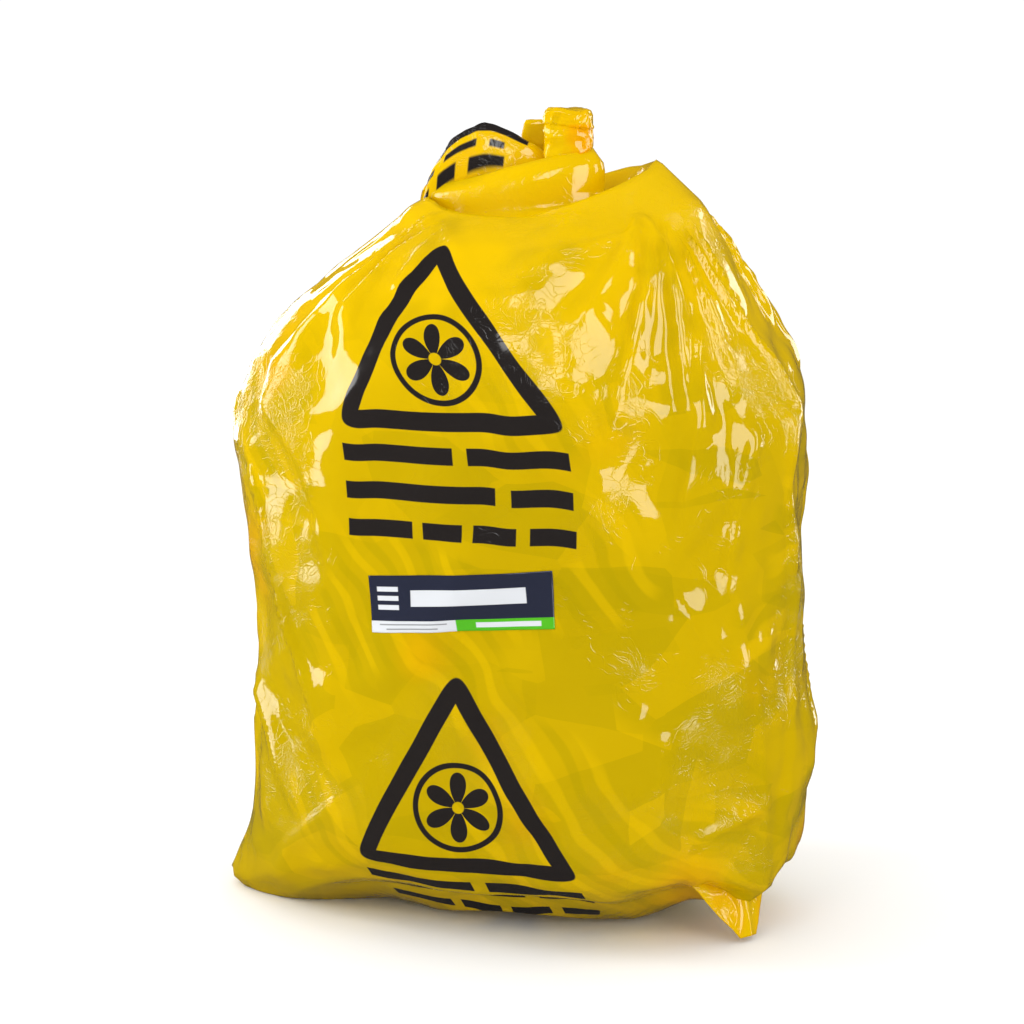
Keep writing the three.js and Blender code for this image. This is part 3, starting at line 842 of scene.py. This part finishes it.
class Term:
    """A shader socket that takes part in expressions: each operator adds the Math node for it."""

    def __init__(self, look, socket):
        self.look = look
        self.socket = socket

    def math(self, operation, *others):
        values = {number + 1: other for number, other in enumerate(others)}
        return self.look.node("ShaderNodeMath", {"operation": operation}, {0: self, **values})

    def __add__(self, other):
        return self.math("ADD", other)

    __radd__ = __add__

    def __sub__(self, other):
        return self.math("SUBTRACT", other)

    def __rsub__(self, other):
        return self.look.node("ShaderNodeMath", {"operation": "SUBTRACT"}, {0: other, 1: self})

    def __mul__(self, other):
        return self.math("MULTIPLY", other)

    __rmul__ = __mul__

    def __truediv__(self, other):
        return self.math("DIVIDE", other)

    def __abs__(self):
        return self.math("ABSOLUTE")

    def most(self, other):
        return self.math("MAXIMUM", other)

    def least(self, other):
        return self.math("MINIMUM", other)

    def over(self, low, high):
        """0 below low, 1 above high, and a smooth S between. Low may be the greater, to turn it round."""
        settings = {"interpolation_type": "SMOOTHSTEP"}
        if low > high:
            return 1.0 - self.over(high, low)
        return self.look.node("ShaderNodeMapRange", settings, {0: self, 1: low, 2: high})


class Look:
    """A material under construction, with one method that adds any node."""

    def __init__(self, name):
        self.material = bpy.data.materials.new(name)
        self.material.use_nodes = True
        self.tree = self.material.node_tree
        self.shader = self.tree.nodes["Principled BSDF"]

    def node(self, kind, settings=None, values=None, output=0):
        """Adds a node: its settings first, then its sockets' values or links. Returns the wanted output."""
        made = self.tree.nodes.new(kind)
        for name, setting in (settings or {}).items():
            setattr(made, name, setting)
        for key, value in (values or {}).items():
            self.feed(made.inputs[key], value)
        return Term(self, made.outputs[output])

    def feed(self, socket, value):
        if isinstance(value, Term):
            self.tree.links.new(value.socket, socket)
        else:
            socket.default_value = value

    def mix(self, share, first, second):
        """Colours mixed: first where share is 0 and second where it is 1."""
        return self.node("ShaderNodeMix", {"data_type": "RGBA"}, {0: share, 6: first, 7: second}, 2)

    def place(self):
        return self.node("ShaderNodeTexCoord", output="Object")

    def turned(self, vector, turn, scale):
        return self.node("ShaderNodeMapping", {}, {"Vector": vector, "Rotation": turn, "Scale": scale})

    def noise(self, vector, scale, detail=2.0):
        values = {"Vector": vector, "Scale": scale, "Detail": detail}
        return self.node("ShaderNodeTexNoise", {}, values, "Fac")

    def noise_vector(self, vector, scale, detail=2.0):
        values = {"Vector": vector, "Scale": scale, "Detail": detail}
        return self.node("ShaderNodeTexNoise", {}, values, "Color")

    def edges(self, vector, scale):
        """Distance from the nearest edge between the cells of a Voronoi pattern."""
        settings = {"feature": "DISTANCE_TO_EDGE"}
        return self.node("ShaderNodeTexVoronoi", settings, {"Vector": vector, "Scale": scale}, "Distance")

    def patch(self, vector, scale, number):
        """A random value for each cell of a Voronoi pattern: one of three independent ones."""
        colour = self.node("ShaderNodeTexVoronoi", {}, {"Vector": vector, "Scale": scale}, "Color")
        return self.parts(colour)[number]

    def parts(self, vector):
        """The three numbers of a vector."""
        made = self.tree.nodes.new("ShaderNodeSeparateXYZ")
        self.feed(made.inputs[0], vector)
        return [Term(self, made.outputs[k]) for k in range(3)]

    def shifted(self, vector, shift):
        return self.node("ShaderNodeVectorMath", {"operation": "ADD"}, {0: vector, 1: shift})

    def set(self, **inputs):
        """Feeds the shader's sockets, named with _ for a space."""
        for name, value in inputs.items():
            self.feed(self.shader.inputs[name.replace("_", " ")], value)


GOLD = (0.52, 0.345, 0.0, 1.0)
BRIGHT = (0.72, 0.455, 0.0, 1.0)
ORANGE = (0.80, 0.34, 0.0, 1.0)
OLIVE = (0.37, 0.272, 0.0, 1.0)
INK = (0.016, 0.013, 0.012, 1.0)
NAVY = (0.018, 0.021, 0.040, 1.0)
PALE = (0.62, 0.64, 0.67, 1.0)
GREEN = (0.075, 0.42, 0.012, 1.0)
GREY = (0.28, 0.29, 0.30, 1.0)
FLOOR_WHITE = (0.97, 0.97, 0.97, 1.0)
FILM_GLOSS = 0.5
FILM_ROUGHNESS, CREASED_ROUGHNESS, INK_ROUGHNESS = 0.045, 0.06, 0.06  # the last two are added to the first
CRINKLE_STRENGTH, CRINKLE_DEPTH = 0.26, 0.0022
EDGE = 0.0004  # softness of a printed edge
CLEAR_HEIGHTS = (0.40, 0.57)  # between them the waste stops showing through
CAP_HEIGHT = 0.664  # underside of the knot stub's folded cap
FLAP_EDGE = 0.006  # on the flap's own map, which runs from 0 to 1 round it and along it
FLAP_BAR = 0.034
FLAP_BARS = (  # left and right ends, and the upper edge
    (0.10, 0.20, 0.455), (0.27, 0.46, 0.445), (0.53, 0.61, 0.45), (0.06, 0.17, 0.515), (0.24, 0.36, 0.51),
    (0.43, 0.62, 0.512),
)


def box_mask(across, along, left, right, low, high, soft=EDGE):
    """1 inside a rectangle of the map."""
    sides = across.over(left - soft, left + soft) * across.over(right + soft, right - soft)
    return sides * along.over(low - soft, low + soft) * along.over(high + soft, high - soft)


def triangle_mask(across, up):
    """A bar bent into a triangle with rounded corners. The distance out of its middle is the greatest of
    the distances square to its three sides, taken smoothly so that the corners are round."""
    inradius = TRIANGLE_SIDE / (2.0 * math.sqrt(3.0))
    up = up - inradius
    slant = math.sqrt(0.75)
    right = across * slant + up * 0.5
    left = across * -slant + up * 0.5
    down = up * -1.0
    outer = right.math("SMOOTH_MAX", left, 0.030).math("SMOOTH_MAX", down, 0.030)
    inner = right.most(left).most(down)
    return outer.over(inradius + EDGE, inradius - EDGE) * inner.over(
        inradius - TRIANGLE_BAR - EDGE, inradius - TRIANGLE_BAR + EDGE
    )


def rosette_mask(across, up):
    """A round ornament: a ring, six petals inside it, whose edge is a rose curve, and a bare dot."""
    up = up - TRIANGLE_SIDE / (2.0 * math.sqrt(3.0))
    radius = (across * across + up * up).math("SQRT")
    angle = up.math("ARCTAN2", across)
    petal = abs((angle * 3.0).math("SINE")).math("POWER", 0.55) * (ORNAMENT_RADIUS - 0.0085)
    petals = (petal - radius).over(-EDGE, EDGE) * radius.over(0.0045, 0.0055)
    ring = radius.over(ORNAMENT_RADIUS + EDGE, ORNAMENT_RADIUS - EDGE)
    return petals.most(ring * radius.over(ORNAMENT_RADIUS - 0.0052, ORNAMENT_RADIUS - 0.0044))


def bars_mask(across, along):
    """Three rows of plain bars under the triangle."""
    total = None
    for row, bars in enumerate(ROWS):
        top = ROW_TOP - row * ROW_PITCH - 0.005
        for left, right in bars:
            bar = box_mask(across, along, left, right, top - BAR_HEIGHT, top)
            total = bar if total is None else total.most(bar)
    return total


def print_mask(look):
    """All the print on the film, on its front and back: it repeats along the film."""
    across, along, _ = look.parts(look.node("ShaderNodeUVMap", {"uv_map": "film_map"}))
    across = (across - 0.5) * FILM_GIRTH
    along = (along - 0.1) * ALONG_SCALE
    behind = abs(across).over(0.25 * FILM_GIRTH - EDGE, 0.25 * FILM_GIRTH + EDGE)
    across = across - behind * across.math("SIGN") * (0.5 * FILM_GIRTH)
    repeat = (along - PRINT_START) / PRINT_REPEAT
    along = repeat.math("FRACT") * PRINT_REPEAT + PRINT_START
    up = along - TRIANGLE_FOOT
    shapes = triangle_mask(across, up).most(rosette_mask(across, up)).most(bars_mask(across, along))
    return shapes * repeat.over(0.995, 0.99)


def crinkle(look, place):
    """Fine relief of worn film: soft orange peel all over and sharp little creases in patches."""
    wander = look.noise(place, 9.0, 3.0)
    bent = look.shifted(place, look.noise_vector(place, 14.0))
    creases = look.edges(look.turned(bent, (0.3, 0.5, 0.2), (1.0, 1.0, 0.6)), 16.0)
    fine = look.edges(look.turned(bent, (0.9, 0.1, 0.7), (1.0, 1.0, 0.7)), 46.0)
    patches = wander.over(0.50, 0.62)
    height = creases.over(0.05, 0.0) * 0.35 * wander.over(0.42, 0.60)
    height = height + fine.over(0.08, 0.0) * 0.30 * patches
    height = height + look.noise(place, 75.0) * 0.16 + look.noise(place, 22.0) * 0.9
    bump = {"Strength": CRINKLE_STRENGTH, "Distance": CRINKLE_DEPTH, "Height": height}
    return look.node("ShaderNodeBump", {}, bump), patches


def waste_seen(look, place):
    """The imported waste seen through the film: straight-edged flat patches in gold, olive and orange, bands
    of folded sheets, and soft clouds over them."""
    drift = look.noise_vector(place, 5.0, 3.0)
    drift = look.node("ShaderNodeVectorMath", {"operation": "SCALE"}, {0: drift, "Scale": 0.03})
    bent = look.shifted(place, drift)
    shade = look.patch(look.turned(bent, (0.4, 0.25, 0.5), (1.0, 1.0, 1.7)), 11.0, 0)
    patch = look.patch(look.turned(bent, (1.1, 0.6, 0.2), (1.0, 2.2, 0.7)), 19.0, 1)
    strip = look.patch(look.turned(bent, (0.2, 0.9, 0.4), (0.6, 1.0, 3.2)), 13.0, 2)
    cloud = look.noise(place, 6.0, 3.0)
    colour = look.mix(shade.over(0.2, 0.9) * 0.55, GOLD, OLIVE)
    colour = look.mix(strip.over(0.60, 0.95) * cloud.over(0.58, 0.48) * 0.5, colour, OLIVE)
    colour = look.mix(patch.over(0.62, 0.95) * cloud.over(0.42, 0.58) * 0.45, colour, BRIGHT)
    colour = look.mix(cloud.over(0.35, 0.75) * 0.4, colour, GOLD)
    turned = look.turned(bent, (0.0, 0.6, 0.35), (1.0, 1.0, 1.0))
    bands = {"Vector": turned, "Scale": 9.0, "Distortion": 3.5, "Detail": 1.0, "Detail Scale": 1.4}
    sheets = look.node("ShaderNodeTexWave", {"bands_direction": "X"}, bands, "Fac")
    heaped = look.noise(place, 7.0, 1.0).over(0.50, 0.58)
    colour = look.mix(sheets.over(0.80, 0.95) * heaped * 0.45, colour, OLIVE)
    colour = look.mix(sheets.over(0.20, 0.05) * heaped * 0.35, colour, BRIGHT)
    return look.mix(look.noise(place, 8.0, 1.0).over(0.62, 0.78) * 0.45, colour, ORANGE)


def film_look(name, ink=None, layers=0.0):
    """Thin glossy film. Where it lies over waste, the waste shows through; higher up it is clear yellow.
    Layers is how much the film lies in several layers, which is more orange, except on the stub's folded
    cap. Ink is a function that gives the mask of the print."""
    look = Look(name)
    place = look.place()
    _, _, height = look.parts(place)
    upper = height.over(*CLEAR_HEIGHTS)
    clear = look.mix(look.noise(place, 12.0).over(0.52, 0.70) * 0.8, BRIGHT, GOLD)
    colour = look.mix(upper.most(layers), waste_seen(look, place), clear)
    bump, patches = crinkle(look, place)
    if layers:
        folded_over = look.noise(look.turned(place, (0.0, 0.5, 0.0), (1.0, 1.0, 0.4)), 42.0)
        lower = height.over(CAP_HEIGHT + 0.002, CAP_HEIGHT - 0.001)
        share = folded_over.over(0.40, 0.60) * layers * (0.25 + 0.75 * lower)
        colour = look.mix(share, BRIGHT, ORANGE)
    roughness = FILM_ROUGHNESS + patches * CREASED_ROUGHNESS
    if ink:
        mask = ink(look)
        colour = look.mix(mask, colour, INK)
        roughness = roughness + mask * INK_ROUGHNESS
    look.set(Base_Color=colour, Roughness=roughness, Normal=bump, Specular_IOR_Level=FILM_GLOSS)
    return look.material


def flap_ink(look):
    """The print on the flap: a thick bar along its crest, and parts of two rows of bars below it."""
    round_it, across, _ = look.parts(look.node("ShaderNodeUVMap", {"uv_map": "film_map"}))
    slanted = round_it + across * 0.10
    total = box_mask(across, slanted, 0.16, 0.74, 0.275, 0.405, FLAP_EDGE)
    for left, right, top in FLAP_BARS:
        total = total.most(box_mask(across, slanted, left, right, top, top + FLAP_BAR, FLAP_EDGE))
    return total


def label_look():
    """The sticker: a dark panel with pale bars over a strip, white at its left and green at its right."""
    look = Look("sticker_print")
    across, up, _ = look.parts(look.node("ShaderNodeUVMap", {"uv_map": "film_map"}))
    soft = 0.003
    strip = up.over(0.205 + soft, 0.205 - soft)
    right = across.over(0.475 - soft, 0.475 + soft)
    pale = box_mask(across, up, 0.24, 0.86, 0.46, 0.74, soft)
    for low in (0.40, 0.56, 0.72):
        pale = pale.most(box_mask(across, up, 0.045, 0.17, low, low + 0.085, soft))
    pale = pale.most(box_mask(across, up, 0.58, 0.93, 0.06, 0.15, soft))
    grey = box_mask(across, up, 0.05, 0.43, 0.13, 0.155, soft)
    grey = grey.most(box_mask(across, up, 0.09, 0.38, 0.05, 0.075, soft))
    strip_colour = look.mix(right, look.mix(grey, PALE, GREY), GREEN)
    colour = look.mix(strip, NAVY, strip_colour)
    colour = look.mix(pale, colour, PALE)
    place = look.place()
    bump = {"Strength": 0.25, "Distance": 0.001, "Height": look.noise(place, 30.0)}
    roughness = 0.16 + look.noise(place, 60.0) * 0.06
    look.set(Base_Color=colour, Roughness=roughness, Normal=look.node("ShaderNodeBump", {}, bump))
    return look.material


film.data.materials.append(film_look("film", print_mask))
flap.data.materials.append(film_look("flap_film", flap_ink, 0.15))
stub.data.materials.append(film_look("stub_film", None, 0.85))
tail.data.materials.append(film_look("tail_film", None, 0.25))
right_corner.data.materials.append(film_look("right_corner_film", None, 0.35))
left_corner.data.materials.append(film_look("left_corner_film", None, 0.35))
label.data.materials.append(label_look())


# Studio

def look_from(azimuth, elevation, distance, aim, focal):
    """The camera, at an azimuth counted from the front towards the right and an elevation above level."""
    camera = bpy.data.cameras.new("camera")
    camera.lens = focal / 1024 * camera.sensor_width
    camera.clip_start, camera.clip_end = 0.05, 50.0
    seat = bpy.data.objects.new("camera", camera)
    bpy.context.scene.collection.objects.link(seat)
    turn, rise = math.radians(azimuth), math.radians(elevation)
    back = Vector((math.sin(turn) * math.cos(rise), -math.cos(turn) * math.cos(rise), math.sin(rise)))
    seat.location = Vector(aim) + back * distance
    seat.rotation_mode = "QUATERNION"
    seat.rotation_quaternion = (-back).to_track_quat("-Z", "Y")
    bpy.context.scene.camera = seat


look_from(CAMERA_AZIMUTH, CAMERA_ELEVATION, CAMERA_DISTANCE, CAMERA_AIM, CAMERA_FOCAL)


def floor():
    """A matt white floor, which the glossy film doesn't mirror."""
    mesh = bpy.data.meshes.new("floor")
    mesh.from_pydata([(-8, -8, 0), (8, -8, 0), (8, 8, 0), (-8, 8, 0)], [], [(0, 1, 2, 3)])
    made = bpy.data.objects.new("floor", mesh)
    bpy.context.scene.collection.objects.link(made)
    look = Look("floor")
    look.set(Base_Color=FLOOR_WHITE, Roughness=0.6, Specular_IOR_Level=0.0)
    mesh.materials.append(look.material)
    made.visible_glossy = False


floor()


def softbox(name, place, aim, width, height, radiance, mirrored=True):
    """A square light. A mirrored one is only seen in glossy reflections, and any other only lights."""
    light = bpy.data.lights.new(name, "AREA")
    light.shape = "RECTANGLE"
    light.size, light.size_y = width, height
    light.energy = radiance * math.pi * width * height
    made = bpy.data.objects.new(name, light)
    bpy.context.scene.collection.objects.link(made)
    made.location = place
    made.rotation_euler = (Vector(aim) - Vector(place)).to_track_quat("-Z", "Y").to_euler()
    made.visible_diffuse = not mirrored
    made.visible_glossy = mirrored


softbox("key", (1.55, -1.60, 0.95), (0.05, 0, 0.40), 0.60, 1.7, 3.2, False)
softbox("front", (-0.25, -2.6, 2.1), (0, 0, 0.45), 0.9, 0.45, 4.7, False)
softbox("top", (0.1, 0.2, 2.8), (0, 0, 0.35), 1.6, 1.6, 0.7, False)
softbox("left", (-2.2, -0.55, 0.85), (0, 0, 0.35), 0.5, 1.6, 11.0, False)
softbox("right_card", (1.55, -1.45, 1.25), (0.05, 0, 0.40), 1.15, 2.3, 5.0)
softbox("front_card", (0.10, -1.9, 2.05), (0.05, 0, 0.45), 0.50, 1.15, 5.0)
softbox("side_card", (2.3, 0.15, 0.95), (0.05, 0, 0.35), 0.55, 1.9, 5.0)
softbox("rim_card", (1.6, 1.9, 0.8), (0.05, 0, 0.35), 0.5, 1.6, 5.0)
softbox("left_card", (-2.2, -0.45, 0.95), (0, 0, 0.35), 0.75, 1.7, 5.5)
softbox("left_rim_card", (-1.7, 1.6, 0.8), (0, 0, 0.35), 0.5, 1.5, 5.0)


def studio_world():
    """White all round for the camera and for soft light, and darker in reflections, as in a dark studio
    with a white backdrop."""
    world = bpy.data.worlds.new("studio")
    world.use_nodes = True
    tree = world.node_tree
    path = tree.nodes.new("ShaderNodeLightPath")
    share = tree.nodes.new("ShaderNodeMapRange")
    share.inputs["To Min"].default_value = WORLD_LIGHT
    share.inputs["To Max"].default_value = WORLD_REFLECTED
    tree.links.new(path.outputs["Is Glossy Ray"], share.inputs["Value"])
    tree.links.new(share.outputs["Result"], tree.nodes["Background"].inputs["Strength"])
    tree.nodes["Background"].inputs["Color"].default_value = (1.0, 1.0, 1.0, 1.0)
    bpy.context.scene.world = world


studio_world()
bpy.context.scene.view_settings.view_transform = "Standard"
